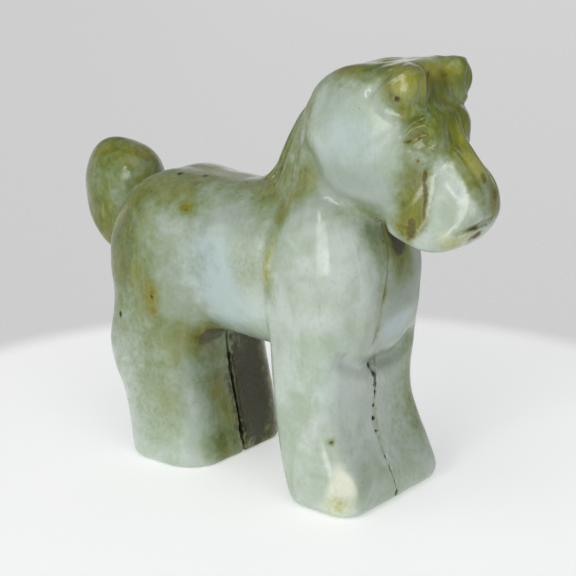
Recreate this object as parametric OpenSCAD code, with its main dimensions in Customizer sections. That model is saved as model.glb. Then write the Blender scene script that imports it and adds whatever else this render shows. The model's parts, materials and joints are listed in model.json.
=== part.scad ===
// Small stocky horse carved and polished from one piece of pale green jade.
// X is the way the horse faces, Y is its left, Z is up, feet on z = 0, millimetres.

/* [Body] */
// Height of the back above the ground
back_height = 34.8; // [33:0.1:37]
// Height of the belly above the ground
belly_height = 16.4; // [16.2:0.1:18]
// Width across the barrel
barrel_width = 17.2; // [15:0.1:18.4]
// Width across the haunches and across the shoulders
haunch_width = 18.8; // [17.6:0.1:20]
// Rear face of the rump, measured back from the middle
rump_rear = 23.0; // [22:0.1:24]
// Front face of the chest, measured forward from the middle
chest_front = 15.4; // [14.6:0.1:16]

/* [Legs] */
// Height at which the legs leave the body
leg_height = 15.0; // [14.6:0.1:16]
// Width across each pair of feet
foot_width = 18.6; // [17.6:0.1:19.6]
// Fore and aft length of a front foot
fore_foot_length = 10.1; // [9:0.1:11]
// Fore and aft length of a hind foot
hind_foot_length = 13.6; // [12:0.1:14.4]
// Forward tip of the front feet
fore_toe = 17.0; // [16:0.1:18]
// Forward tip of the hind feet, behind the middle when negative
hind_toe = -6.2; // [-7:0.1:-5.4]

/* [Head and neck] */
// Top of the crown between the ears
crown_height = 51.0; // [49:0.1:52.5]
// Width across the neck
neck_width = 13.0; // [11.5:0.1:14]
// Width across the cheeks
cheek_width = 14.6; // [13.2:0.1:15.6]
// Width across the muzzle
muzzle_width = 8.6; // [7:0.1:9.4]
// Front of the nose, measured forward from the middle
nose_front = 28.8; // [27:0.1:30]
// Distance between the two ear tips
ear_spacing = 9.4; // [8:0.1:10.6]
// Depth of the incised lines that mark the mane
mane_line_depth = 0.35; // [0.2:0.05:0.6]

/* [Tail] */
// Rear of the tail lobe, measured back from the middle
tail_rear = 31.6; // [30:0.1:33]
// Top of the tail lobe
tail_top = 36.6; // [35:0.1:38]
// Width across the tail lobe
tail_width = 6.8; // [5.5:0.1:8]

/* [Hidden] */
$fn = 32;
nostril_rise = 0.1;
centring = (tail_rear - nose_front + nostril_rise) / 2;
half_w = haunch_width / 2;
half_f = foot_width / 2;
barrel_h = back_height - belly_height;
barrel_z = belly_height + barrel_h / 2;
hind_heel = hind_toe - hind_foot_length;
fore_heel = fore_toe - fore_foot_length;
ring_n = 8;

// One point ring round an upright leg: a rectangle with quarter-round corners.
function quarter(cx, cy, r, a0, z) =
    [for (i = [0:ring_n]) let (a = a0 + 90 * i / ring_n) [cx + r * cos(a), cy + r * sin(a), z]];
function ring(x0, x1, y0, y1, r, ri, z) = concat(
    quarter(x1 - ri, y0 + ri, ri, -90, z), quarter(x1 - r, y1 - r, r, 0, z),
    quarter(x0 + r, y1 - r, r, 90, z), quarter(x0 + ri, y0 + ri, ri, 180, z));

// A closed skin over a list of point rings, bottom ring first.
module skin(rings) {
    n = len(rings[0]);
    m = len(rings);
    polyhedron(
        points = [for (g = rings) for (p = g) p],
        faces = concat(
            [[for (i = [0:n - 1]) i]],
            [for (k = [0:m - 2]) for (i = [0:n - 1])
                [k * n + i, (k + 1) * n + i, (k + 1) * n + (i + 1) % n]],
            [for (k = [0:m - 2]) for (i = [0:n - 1])
                [k * n + i, (k + 1) * n + (i + 1) % n, k * n + (i + 1) % n]],
            [[for (i = [n - 1:-1:0]) (m - 1) * n + i]]));
}

// Left-hand legs; the right-hand ones are their mirror images.
module fore_leg_shape() {
    skin([
        ring(fore_heel + 0.4, fore_toe - 0.3, 0.0, half_f - 0.3, 2.6, 1.4, 0),
        ring(fore_heel + 0.1, fore_toe, 0.0, half_f, 2.8, 1.2, 0.8),
        ring(fore_heel - 0.6, fore_toe - 0.4, 0.0, half_f, 2.8, 1.0, 3.2),
        ring(fore_heel - 1.5, fore_toe - 2.6, 0.0, half_f - 0.1, 2.8, 0.9, 7.4),
        ring(fore_heel - 2.3, fore_toe - 3.8, 0.0, half_f - 0.1, 2.8, 0.9, 11.5),
        ring(fore_heel - 2.7, fore_toe - 3.6, 0.0, half_f - 0.1, 2.8, 0.9, leg_height)]);
}
module hind_leg_shape() {
    skin([
        ring(hind_heel + 0.6, hind_toe - 0.3, 0.0, half_f - 0.3, 3.8, 1.4, 0),
        ring(hind_heel + 0.2, hind_toe, 0.0, half_f, 4.0, 1.2, 0.8),
        ring(hind_heel + 0.2, hind_toe - 0.5, 0.0, half_f - 0.1, 4.0, 1.1, 4.0),
        ring(hind_heel - 0.4, hind_toe - 1.3, 0.0, half_f - 0.2, 4.0, 1.0, 8.0),
        ring(hind_heel - 1.9, hind_toe - 1.9, 0.0, half_f - 0.3, 4.0, 1.0, 12.0),
        ring(hind_heel - 2.0, hind_toe - 2.6, 0.0, half_f - 0.3, 4.0, 1.0, leg_height)]);
}

// Thin slice that joins the upper body to the top of a left-hand leg.
module fore_leg_top() {
    skin([for (z = [leg_height, leg_height + 0.05])
        ring(fore_heel - 2.7, fore_toe - 3.6, 0.0, half_f - 0.1, 2.8, 0.9, z)]);
}
module hind_leg_top() {
    skin([for (z = [leg_height, leg_height + 0.05])
        ring(hind_heel - 2.0, hind_toe - 2.6, 0.0, half_f - 0.3, 4.0, 1.0, z)]);
}

module ball(c, r, tilt = 0) {
    translate(c) rotate([0, tilt, 0]) scale(r) sphere(1);
}
module both() {
    children();
    mirror([0, 1, 0]) children();
}

// Trunk: rounded barrel, haunches, shoulders and chest.
module trunk() {
    hull() for (x = [-rump_rear + 8.6, 6.5]) {
        ball([x, 0, barrel_z], [8.4, barrel_width / 2 - 0.6, barrel_h / 2]);
        for (s = [-1, 1])
            ball([x, s * (barrel_width / 2 - 4.6), barrel_z - 2.6], [7.4, 4.6, barrel_h / 2 - 2.6]);
    }
    both() hull() {
        ball([-14.9, half_w - 5.5, 24.2], [rump_rear - 15.0, 5.5, 10.2]);
        hind_leg_top();
    }
    both() hull() {
        ball([9.2, half_w - 5.5, 24.4], [5.6, 5.5, 11.0]);
        fore_leg_top();
    }
    hull() {
        ball([chest_front - 5.6, 0, 25.4], [5.6, 7.2, 7.0]);
        ball([chest_front - 6.0, 0, 21.4], [5.8, 6.8, 4.4]);
        ball([chest_front - 7.0, 0, 32.0], [6.0, 5.8, 4.0]);
    }
}

// Neck: wedge section, narrow along the crest and broad at the throat.
module neck_shape() {
    crest = 1.5;
    wide = neck_width / 2 - 3.4;
    hull() {
        ball([-1.4, 0, 34.0], [crest, crest, crest]);
        ball([2.2, 0, 42.6], [crest, crest, crest]);
        ball([7.2, 0, crown_height - 4.2], [2.2, 3.0, 2.2]);
        for (s = [-1, 1]) {
            ball([7.0, s * (wide + 0.6), 29.0], [3.6, 3.6, 3.6]);
            ball([10.8, s * wide, 29.0], [3.4, 3.4, 3.4]);
            ball([8.2, s * wide, 44.5], [3.4, 3.4, 3.4]);
            ball([10.6, s * wide, 38.0], [3.4, 3.4, 3.4]);
        }
    }
}

// Head: blocky skull, disc-like cheeks, wedge muzzle, brows and eyes.
module head_shape() {
    cw = cheek_width / 2;
    mw = muzzle_width / 2;
    hull() {
        for (s = [-1, 1]) {
            ball([10.4, s * 2.6, crown_height - 5.0], [4.2, 3.4, 3.8]);
            ball([18.0, s * 3.0, crown_height - 3.8], [3.6, 3.0, 3.2]);
            ball([20.4, s * 2.6, 45.4], [2.4, 1.8, 2.6]);
            ball([10.6, s * (cw - 4.0), 41.0], [4.4, 3.6, 5.6]);
            ball([17.4, s * (cw - 4.6), 40.4], [4.4, 3.8, 5.6]);
        }
    }
    both() ball([13.6, cw - 4.2, 42.2], [7.4, 4.2, 7.4]);
    hull() {
        for (s = [-1, 1]) {
            ball([20.5, s * (mw - 1.7), 44.6], [2.4, 2.4, 2.4]);
            ball([16.6, s * (mw - 1.4), 36.6], [3.2, 3.0, 3.2]);
            ball([nose_front - 2.6, s * (mw - 2.3), 37.8], [2.4, 2.3, 2.4]);
            ball([nose_front - 2.9, s * (mw - 2.3), 35.0], [2.4, 2.4, 2.4]);
            ball([nose_front - 5.6, s * (mw - 2.4), 33.7], [2.6, 2.4, 2.6]);
        }
    }
    both() hull() {
        ball([18.6, 5.0, 45.6], [1.6, 1.0, 0.9]);
        ball([21.2, 3.8, 45.2], [1.2, 1.0, 0.9]);
    }
    both() ball([21.0, 4.2, 43.4], [1.8, 1.0, 1.1]);
    both() ball([nose_front - 1.2, 2.4, 37.6], [1.1, 0.9, 1.0]);
}
module mouth_cut() {
    hull() {
        translate([nose_front - 3.4, -5, 33.2]) rotate([0, -30, 0]) cube([4.2, 10, 0.4]);
    }
}

// Ear: a short cupped shell leaning forward, hollow on its front face.
module ear_shape() {
    difference() {
        hull() {
            ball([18.4, ear_spacing / 2 - 0.7, 47.2], [2.6, 2.1, 2.2]);
            ball([20.2, ear_spacing / 2 - 0.1, crown_height - 1.5], [2.0, 1.6, 1.6]);
        }
        ball([22.6, ear_spacing / 2 - 0.2, crown_height - 2.2], [1.4, 0.9, 1.4]);
    }
}

// Tail: one plump leaf-shaped lobe hanging behind the rump.
module tail_shape() {
    hull() {
        ball([-25.4, 0, tail_top - 4.0], [3.8, tail_width / 2 - 0.2, 3.8]);
        ball([-tail_rear + 4.2, 0, 30.6], [4.2, tail_width / 2, 4.4]);
        ball([-26.0, 0, 24.0], [2.2, tail_width / 2 - 1.2, 2.2]);
        ball([-22.8, 0, 29.4], [2.0, tail_width / 2 - 0.6, 3.6]);
    }
}

// Grooves along the mane, following the back of the neck on both sides.
module mane_lines() {
    for (s = [-1, 1], k = [0, 1])
        hull() {
            ball([-0.9 + 1.7 * k, s * (1.9 + 1.25 * k), 35.4], [0.3, mane_line_depth, 0.3]);
            ball([2.5 + 1.7 * k, s * (2.1 + 1.25 * k), 43.4], [0.3, mane_line_depth, 0.3]);
        }
}

module body() {
    difference() {
        union() {
            trunk();
            neck_shape();
            head_shape();
        }
        mouth_cut();
        mane_lines();
    }
}

// Puts the middle of the length on the origin.
module placed() {
    translate([centring, 0, 0]) children();
}

// Regions of the one carving, bounded by flat planes.
module side_region(pts, w = 30) {
    translate([0, w / 2, 0]) rotate([90, 0, 0]) linear_extrude(w) polygon(pts);
}
module torso_region() {
    side_region([[-40, leg_height], [17.6, leg_height], [17.6, 28.2], [-4, 34], [-4, 60], [-40, 60]]);
}
module neck_region() {
    side_region([[17.6, 28.2], [17, 32.6], [14.6, 33.6], [4, 50.2], [4, 60], [-4, 60], [-4, 34]]);
}
module head_region() {
    side_region([[17.6, 28.2], [40, 28.2], [40, 60], [4, 60], [4, 50.2], [14.6, 33.6], [17, 32.6]]);
}
module mane_region() {
    side_region([[-6, 34.6], [-0.6, 34.6], [3.2, 42.9], [7.6, 46.9], [12.4, 48.4], [12.4, 60], [-6, 60]], 4.4);
}

module torso() {
    color([0.70, 0.75, 0.66]) placed() intersection() {
        body();
        torso_region();
    }
}
module neck() {
    color([0.70, 0.76, 0.69]) placed() intersection() {
        difference() {
            body();
            mane_region();
        }
        neck_region();
    }
}
module head() {
    color([0.68, 0.74, 0.66]) placed() intersection() {
        difference() {
            body();
            mane_region();
        }
        head_region();
    }
}
module mane() {
    color([0.60, 0.66, 0.50]) placed() intersection() {
        body();
        mane_region();
    }
}
module right_ear() {
    color([0.60, 0.62, 0.36]) placed() difference() {
        mirror([0, 1, 0]) ear_shape();
        body();
    }
}
module left_ear() {
    color([0.60, 0.62, 0.36]) placed() difference() {
        ear_shape();
        body();
    }
}
module tail() {
    color([0.52, 0.52, 0.26]) placed() difference() {
        tail_shape();
        body();
    }
}
module right_foreleg() {
    color([0.72, 0.77, 0.71]) placed() mirror([0, 1, 0]) fore_leg_shape();
}
module left_foreleg() {
    color([0.72, 0.77, 0.71]) placed() fore_leg_shape();
}
module right_hind_leg() {
    color([0.69, 0.74, 0.66]) placed() mirror([0, 1, 0]) hind_leg_shape();
}
module left_hind_leg() {
    color([0.58, 0.62, 0.50]) placed() hind_leg_shape();
}

torso();
neck();
head();
mane();
right_ear();
left_ear();
tail();
right_foreleg();
left_foreleg();
right_hind_leg();
left_hind_leg();
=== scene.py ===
"""Looks of the jade horse: one closed sculpted surface, cut into the CAD's named regions."""
import json
import bpy
import numpy as np
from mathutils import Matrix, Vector


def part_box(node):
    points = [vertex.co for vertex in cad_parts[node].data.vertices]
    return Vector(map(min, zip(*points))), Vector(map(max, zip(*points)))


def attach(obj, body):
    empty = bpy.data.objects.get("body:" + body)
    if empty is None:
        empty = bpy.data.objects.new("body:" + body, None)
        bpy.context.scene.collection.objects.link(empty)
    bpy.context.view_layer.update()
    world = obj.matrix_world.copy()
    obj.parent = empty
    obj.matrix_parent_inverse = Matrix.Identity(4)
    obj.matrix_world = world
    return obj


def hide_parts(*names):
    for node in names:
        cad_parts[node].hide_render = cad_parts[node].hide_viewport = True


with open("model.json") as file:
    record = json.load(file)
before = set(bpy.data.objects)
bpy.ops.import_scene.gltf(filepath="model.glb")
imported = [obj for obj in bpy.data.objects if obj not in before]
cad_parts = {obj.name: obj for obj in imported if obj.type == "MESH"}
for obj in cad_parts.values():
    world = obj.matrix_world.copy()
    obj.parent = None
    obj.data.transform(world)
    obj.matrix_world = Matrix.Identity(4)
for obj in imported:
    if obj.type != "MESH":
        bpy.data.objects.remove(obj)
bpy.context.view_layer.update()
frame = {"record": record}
SCULPT_TOE = 17.0  # front of the forefeet in the sculpt, mm
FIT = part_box("right_foreleg")[1].x * 1000 - SCULPT_TOE  # how far the CAD stands forward of it, mm
F32 = np.float32

# ---------------------------------------------------------------- camera
AZIMUTH, ELEVATION = np.radians(38.5), np.radians(16.5)
TARGET = Vector((0.0023 + FIT / 1000, -0.0021, 0.0231))
DISTANCE = 0.19608


def add(name, data):
    """Object of a name, put into the scene."""
    piece = bpy.data.objects.new(name, data)
    bpy.context.scene.collection.objects.link(piece)
    return piece


lens = bpy.data.cameras.new("camera")
lens.sensor_width = 36
lens.lens = 106.25
lens.clip_start = 0.01
level = np.cos(ELEVATION)
back = Vector((np.sin(AZIMUTH) * level, -np.cos(AZIMUTH) * level, np.sin(ELEVATION)))
camera = add("camera", lens)
camera.location = TARGET + back * DISTANCE
camera.rotation_euler = back.to_track_quat("Z", "Y").to_euler()
bpy.context.scene.camera = camera
bpy.context.scene.view_settings.view_transform = "Standard"


# ---------------------------------------------------------------- sculpting
# The horse is one closed surface: the zero level of a distance-like field in
# millimetres (x forward, y left, z up). A copy folded on y = 0 carries the
# features that both sides share.


def smin(a, b, k):
    """Union of two solids with a fillet of about k millimetres."""
    h = np.maximum(k - np.abs(a - b), 0) / k
    return np.minimum(a, b) - h * h * k * 0.25


def smax(a, b, k):
    """Intersection of two solids with a rounded edge."""
    return -smin(-a, -b, k)


def turn_y(p, degrees):
    """Turn points about the Y axis."""
    c, s = np.cos(np.radians(degrees)), np.sin(np.radians(degrees))
    return np.stack([p[..., 0] * c - p[..., 2] * s, p[..., 1], p[..., 0] * s + p[..., 2] * c], -1)


def egg(p, centre, radii, pitch=0.0):
    """Ellipsoid, leaning nose-up by pitch degrees."""
    q = p - np.array(centre, F32)
    if pitch:
        q = turn_y(q, pitch)
    r = np.array(radii, F32)
    k0 = np.sqrt(((q / r) ** 2).sum(-1))
    k1 = np.sqrt(((q / (r * r)) ** 2).sum(-1))
    return k0 * (k0 - 1) / np.maximum(k1, 1e-6)


def bar(p, a, b, end_a, end_b, r):
    """Rounded bar in the XZ plane from a to b; ends give half height, half width."""
    a, b = np.array(a, F32), np.array(b, F32)
    length = np.linalg.norm(b - a)
    u = (b - a) / length
    v = np.array([-u[2], 0, u[0]], F32)
    q = p - a
    s, t = q @ u, q @ v
    w = np.clip(s / length, 0, 1)
    half_h = end_a[0] + (end_b[0] - end_a[0]) * w
    half_w = end_a[1] + (end_b[1] - end_a[1]) * w
    qs = np.abs(s - length / 2) - (length / 2 - r)
    qt = np.abs(t) - (half_h - r)
    qy = np.abs(q[..., 1]) - (half_w - r)
    out = np.sqrt(np.maximum(qs, 0) ** 2 + np.maximum(qt, 0) ** 2 + np.maximum(qy, 0) ** 2)
    return out + np.minimum(np.maximum(np.maximum(qs, qt), qy), 0) - r


def along(z, stations, values):
    """A dimension that changes smoothly with height."""
    i = np.clip(np.searchsorted(stations, z) - 1, 0, len(stations) - 2)
    s, v = np.array(stations, F32), np.array(values, F32)
    slope = np.gradient(v, s).astype(F32)
    h = (s[i + 1] - s[i])
    t = np.clip((z - s[i]) / h, 0, 1)
    t2, t3 = t * t, t * t * t
    return ((2 * t3 - 3 * t2 + 1) * v[i] + (t3 - 2 * t2 + t) * h * slope[i]
            + (3 * t2 - 2 * t3) * v[i + 1] + (t3 - t2) * h * slope[i + 1])


def column(x, y, rear, front, outer, r_out, r_in, groove):
    """Upright leg between the mid-plane and its outer face, rounded at each corner.

    It is joined to its twin across the mid-plane, behind a groove of the given depth.
    """
    px, py = x - (rear + front) / 2, y - outer / 2
    r = np.where(py > 0, r_out, r_in).astype(F32)
    qx = np.abs(px) - ((front - rear) / 2 - r)
    qy = np.abs(py) - (outer / 2 - r)
    out = np.sqrt(np.maximum(qx, 0) ** 2 + np.maximum(qy, 0) ** 2)
    joined = np.maximum(np.abs(px) - (front - rear) / 2 + groove, y - outer / 2)
    return np.minimum(out + np.minimum(np.maximum(qx, qy), 0) - r, joined)


def stroke(u, v, points):
    """Distance in a plane from a line drawn through a few points."""
    best = None
    for (u0, v0), (u1, v1) in zip(points, points[1:]):
        du, dv = u1 - u0, v1 - v0
        t = np.clip(((u - u0) * du + (v - v0) * dv) / (du * du + dv * dv), 0, 1)
        d = np.hypot(u - u0 - t * du, v - v0 - t * dv)
        best = d if best is None else np.minimum(best, d)
    return best


def bell(d, width):
    """1 at no distance, falling smoothly to 0 a few widths away."""
    return np.exp(-(d / width) ** 2)


def step(x, edge, soft):
    """0 below the edge, 1 above it."""
    return 1 / (1 + np.exp(-np.clip((x - edge) / soft, -30, 30)))


def fore_leg(p):
    """Foreleg: its rear, front and outer face at each height, and a foot that steps forward."""
    x, y, z = p[..., 0], p[..., 1], p[..., 2]
    rear = along(z, [0, 1, 3.4, 8, 14, 18, 24], [7.4, 7.0, 6.3, 5.1, 4.3, 4.0, 3.9])
    front = along(z, [0, 1, 2.9, 4.8, 6.5, 9, 12, 16, 24],
                  [16.5, 16.9, 16.8, 15.9, 14.9, 13.8, 13.2, 13.3, 14.0])
    outer = along(z, [0, 1, 3.4, 8, 14, 18, 24], [9.0, 9.3, 9.4, 9.2, 9.1, 9.1, 8.9])
    return column(x, y, rear, front, outer, 2.7, 0.15, 0.3)


def hind_leg(p):
    """Hind leg, with the hock as a bend in its rear face."""
    x, y, z = p[..., 0], p[..., 1], p[..., 2]
    rear = along(z, [0, 2, 5, 8, 11, 13, 18, 25],
                 [-18.3, -18.4, -18.7, -19.8, -21.4, -22.0, -21.7, -22.3])
    front = along(z, [0, 17, 25], [-6.0, -9.0, -9.5])
    outer = along(z, [0, 3, 10, 18, 25], [9.3, 9.5, 9.3, 9.0, 8.8])
    return column(x, y, rear, front, outer, 4.3, 0.6, 0.8)


def trunk(p):
    """Barrel, haunches, shoulders and chest, with the four legs."""
    d = bar(p, (-21.2, 0, 25.8), (12, 0, 25.1), (9.1, 8.5), (9.2, 8.5), 7.6)
    d = smin(d, egg(p, (-14.5, 3.6, 24.0), (8.3, 5.7, 9.7)), 2.5)
    d = smin(d, egg(p, (9.4, 4.0, 24.0), (5.8, 5.4, 11.5)), 2.0)
    chest = egg(p, (9.6, 0, 24.6), (5.9, 7.0, 8.8))
    chest = smin(chest, egg(p, (10.4, 3.6, 24.2), (5.2, 4.4, 6.8)), 1.5)
    z = p[..., 2]
    d = smin(d, smax(hind_leg(p), z - 24, 8), 2.0)
    d = smin(d, smax(fore_leg(p), z - 24, 8), 2.0)
    return smin(d, chest, 1.2)


def neck_and_head(p):
    """Neck, and the head with its poll and muzzle; flat cuts are written as planes."""
    x, y, z = p[..., 0], p[..., 1], p[..., 2]
    nape = -0.911 * (x + 2.6) + 0.411 * (z - 34.6)
    crown = -0.178 * (x - 6.6) + 0.984 * (z - 48.5) + 0.05 * y * y * step(-x, -15.0, 1.0)
    bevel = 0.80 * y - 0.56 * (x + 1.2) + 0.22 * (z - 34.6) - 1.2
    side = y - along(z, [20, 26, 34, 40, 50], [8.4, 8.0, 6.9, 6.5, 6.4])
    throat = x - along(z, [20, 30, 33, 36, 50], [14.2, 14.2, 13.6, 16.0, 17.0])
    neck = smax(smax(nape, crown, 9.0), bevel, 3.0)
    neck = smax(smax(smax(neck, side, 3.0), throat - 0.4, 7.0), 26 - z, 4.0)

    skull = bar(p, (6.5, 0, 42.0), (21.4, 0, 42.6), (9.2, 6.9), (8.6, 5.6), 4.4)
    skull = smax(smax(skull, crown - 0.1, 2.5), bevel + 0.3, 2.5)
    skull = smax(skull, nape, 4.0)
    cheek = egg(p, (13.5, 3.0, 42.2), (7.7, 4.4, 7.9))

    bridge = 0.817 * x + 0.577 * z - 44.9
    roof = 0.50 * x + 0.646 * y + 0.575 * z - 37.3
    flank = 0.15 * x + 0.95 * y + 0.27 * z - 16.9
    nose = 0.97 * x - 0.24 * z - 18.7
    chin = 0.58 * x - 0.81 * z + 11.0
    gullet = -0.33 * x - 0.94 * z + 36.5
    muzzle = smax(smax(smax(bridge, roof, 0.9), flank, 1.0), nose, 2.4)
    muzzle = smax(smax(muzzle, chin, 2.2), gullet, 2.4)
    muzzle = smax(smax(muzzle, 14.0 - x, 2.0), z - 47.6, 2.0)
    face = bar(p, (13.0, 0, 44.2), (23.4, 0, 43.2), (3.2, 4.8), (3.6, 3.8), 1.7)
    face = smax(face, bridge - 0.1, 1.2)
    poll = bar(p, (15.6, 0, 47.9), (20.3, 0, 48.9), (2.4, 4.0), (2.4, 4.4), 1.4)
    skull = smin(skull, poll, 1.2)
    return neck, smin(smin(smin(skull, cheek, 1.6), face, 1.4), muzzle, 1.0)


def ears(p):
    """Short ears, hollowed at the front."""
    tip = egg(p, (20.2, 3.9, 48.9), (1.9, 2.0, 2.1), 20)
    d = smin(egg(p, (18.8, 4.2, 47.8), (3.3, 2.3, 3.0), 20), tip, 1.0)
    return smax(d, -egg(p, (23.2, 4.3, 48.8), (1.5, 1.0, 1.8), 20), 0.7)


def tail(p):
    """Plump leaf-shaped tail, joined to the rump."""
    d = egg(p, (-26.0, 0, 29.4), (4.9, 3.4, 7.3), -14)
    d = smin(d, egg(p, (-24.0, 0, 32.4), (4.1, 3.8, 3.8), -14), 3.0)
    return smin(d, egg(p, (-23.4, 0, 29.6), (3.0, 2.6, 4.0), -14), 1.5)


def cut_lines(p, y_signed):
    """Everything incised or raised by hand, as a change of depth in millimetres."""
    x, y, z = p[..., 0], p[..., 1], p[..., 2]
    on_side = step(y, 2.2, 0.35)
    by_eye = step(y, 2.0, 0.3) * np.where(y_signed < 0, 1.0, 0.4)
    cut = 0 * x
    # mane lines down the nape
    for k in range(3):
        line = stroke(x, z, [(-1.0 + 1.25 * k, 35.6), (0.7 + 1.2 * k, 39.6),
                             (2.6 + 1.1 * k, 43.6), (5.0 + k, 46.4)])
        cut += 0.28 * bell(line, 0.24) * step(y, 0.8, 0.2)
    cut += 0.18 * bell(stroke(x, z, [(4.8, 36.0), (4.9, 41.0), (5.8, 45.6)]), 0.35) * on_side
    # hollow under the jaw
    line = stroke(x, z, [(8.6, 39.6), (9.8, 37.4), (12.0, 35.8), (14.4, 34.9), (16.8, 34.2)])
    cut += 0.75 * bell(line, 1.4) * on_side
    # creases behind the shoulder and in front of the haunch
    cut += 0.30 * bell(stroke(x, z, [(3.4, 31.5), (3.5, 24.0), (3.6, 17.0)]), 0.7) * step(y, 5.0, 0.5)
    cut += 0.25 * bell(stroke(x, z, [(-6.2, 31.0), (-6.6, 24.0), (-7.6, 18.0)]), 1.2) * step(y, 5.0, 0.5)
    # breast line and the knife cuts between the legs
    front = step(x, 8.0, 0.5)
    cut += 0.18 * bell(y, 0.2) * front * step(z, 19.5, 0.6) * step(-z, -33.5, 0.6)
    cut += np.where(x > 0, 0.03, 0.22) * bell(y, 0.24) * step(-z, -17.0, 0.5)
    # fold under the breast
    cut += 0.85 * bell(stroke(y, z, [(1.0, 15.6), (3.0, 16.0), (6.0, 17.6)]), 1.2) * front
    # brow, lid and eye socket
    brow = stroke(x, z, [(19.8, 45.0), (20.6, 46.2), (21.6, 46.6), (22.6, 46.2)])
    fold = stroke(x, z, [(20.1, 44.1), (20.9, 45.2), (22.0, 45.6), (23.0, 45.2)])
    lid = stroke(x, z, [(20.3, 43.4), (21.0, 44.4), (22.0, 44.8), (22.9, 44.3), (23.2, 43.2), (23.0, 42.3)])
    socket = stroke(x, z, [(20.6, 42.8), (21.3, 43.6), (22.0, 43.8), (22.4, 43.2)])
    below = stroke(x, z, [(21.0, 42.0), (22.2, 42.6), (23.0, 42.2)])
    cut -= (0.16 * bell(brow, 0.36) + 0.24 * bell(lid, 0.30) + 0.12 * bell(below, 0.34)) * by_eye
    cut += (0.18 * bell(fold, 0.26) + 0.26 * bell(socket, 0.30)) * by_eye
    # rim of the ear, and the crease under it
    outward = step(y, 4.0, 0.4)
    rim = stroke(x, z, [(17.4, 47.6), (18.5, 48.9), (19.6, 50.0), (20.9, 50.6)])
    cut -= 0.24 * bell(rim, 0.4) * outward
    cut += 0.28 * bell(stroke(x, z, [(16.7, 48.0), (17.9, 49.5), (19.0, 50.6)]), 0.5) * outward
    under = stroke(x, z, [(22.4, 48.2), (21.4, 46.7), (20.2, 46.1), (18.8, 46.6)])
    cut += 0.30 * bell(under, 0.4) * outward
    # crease where the muzzle leaves the jaw, and the nostril fold
    line = stroke(x, z, [(22.6, 41.4), (22.9, 38.0), (22.8, 34.6), (22.0, 33.0)])
    cut += 0.08 * bell(line, 0.30) * on_side
    cut -= 0.12 * bell(stroke(x, z, [(24.0, 38.4), (25.6, 37.0)]), 0.45) * on_side
    # twin lines down the bridge of the nose
    on_top = step(0.817 * x + 0.577 * z, 43.0, 0.3) * step(-x, -27.4, 0.3) * step(-z, -45.0, 0.4)
    cut += 0.13 * bell(y - 1.3, 0.30) * on_top + 0.10 * bell(y_signed - 0.2, 0.25) * on_top
    # mouth, cut on the right side only
    near = np.where(y_signed < 1, 1, 0)
    cut += 0.32 * bell(stroke(x, z, [(26.1, 33.7), (27.2, 34.4), (29.0, 35.6)]), 0.26) * near
    # parting between the ears
    cut += 0.5 * bell(stroke(x, z, [(22.4, 49.8), (22.8, 47.8)]), 1.5) * bell(y, 2.0)
    cut += 0.35 * bell(stroke(x, z, [(20.9, 51.0), (21.9, 48.6), (22.2, 46.6)]), 0.9) * bell(y - 2.9, 0.6)
    cut += 0.25 * bell(y_signed - 0.9, 0.25) * bell(stroke(x, z, [(13.8, 50.4), (18.2, 51.1)]), 0.6)
    return cut


def pits(p, y_signed):
    """Small drill pits left along the cuts between the legs."""
    x, z = p[..., 0], p[..., 2]
    fore = step(x, 8.0, 0.4)
    hind = step(-x, 4.0, 0.4) * step(x, -12.0, 0.4)
    cut = 0 * x
    for height, size in ((15.5, 0.42), (14.7, 0.34), (13.6, 0.24), (12.4, 0.18), (10.8, 0.16),
                         (9.4, 0.22), (8.0, 0.16), (5.2, 0.18), (3.9, 0.2), (0.9, 0.3)):
        cut += 1.6 * size * bell(np.hypot(y_signed, z - height), size) * fore
    for height, size in ((12.0, 0.30), (10.6, 0.34), (9.2, 0.24), (7.0, 0.20), (4.2, 0.28),
                         (3.0, 0.42), (2.2, 0.36)):
        cut += 1.6 * size * bell(np.hypot(y_signed, z - height), size) * hind
    return cut


def cloud(p, size, seed):
    """Smooth random values from -1 to 1 that change over about size millimetres."""
    lattice = np.random.default_rng(seed).random((24, 24, 24)).astype(F32) * 2 - 1
    q = p / F32(size) + F32(200.37)
    i = np.floor(q).astype(np.int32)
    f = q - i
    f = f * f * (3 - 2 * f)
    i0, i1 = i % 24, (i + 1) % 24
    total = 0
    for cx, wx in ((i0[..., 0], 1 - f[..., 0]), (i1[..., 0], f[..., 0])):
        for cy, wy in ((i0[..., 1], 1 - f[..., 1]), (i1[..., 1], f[..., 1])):
            for cz, wz in ((i0[..., 2], 1 - f[..., 2]), (i1[..., 2], f[..., 2])):
                total = total + lattice[cx, cy, cz] * wx * wy * wz
    return total


def hand_finish(p):
    """Slow waves that polishing by hand leaves on a surface."""
    return 0.13 * cloud(p, 5.5, 3) + 0.05 * cloud(p, 2.3, 4)


def toe_facet(d, p):
    """One nearly flat polished cut low on the outer front corner of each forefoot."""
    x, y, z = p[..., 0], p[..., 1], p[..., 2]
    beyond = 0.60 * x + 0.75 * y + 0.24 * z - 16.42 - 0.02 * (z - 4.0) ** 2
    return np.where(x > 8, smax(d, beyond, 0.12), d)


def lean(p):
    """How far the hand-cut line down the chest and forelegs strays from the middle."""
    x, y, z = p[..., 0], p[..., 1], p[..., 2]
    drift = along(z, [0, 3, 6, 10, 12, 16, 20, 24, 27, 30, 34, 36],
                  [0, -0.9, -1.0, -0.7, 0.2, 0.3, -1.7, -1.8, -1.3, -0.9, -0.4, 0])
    return drift * step(x, 8.0, 0.8) * step(-z, -35.0, 0.5) * np.clip(1 - (y / 6) ** 2, 0, 1)


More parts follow.
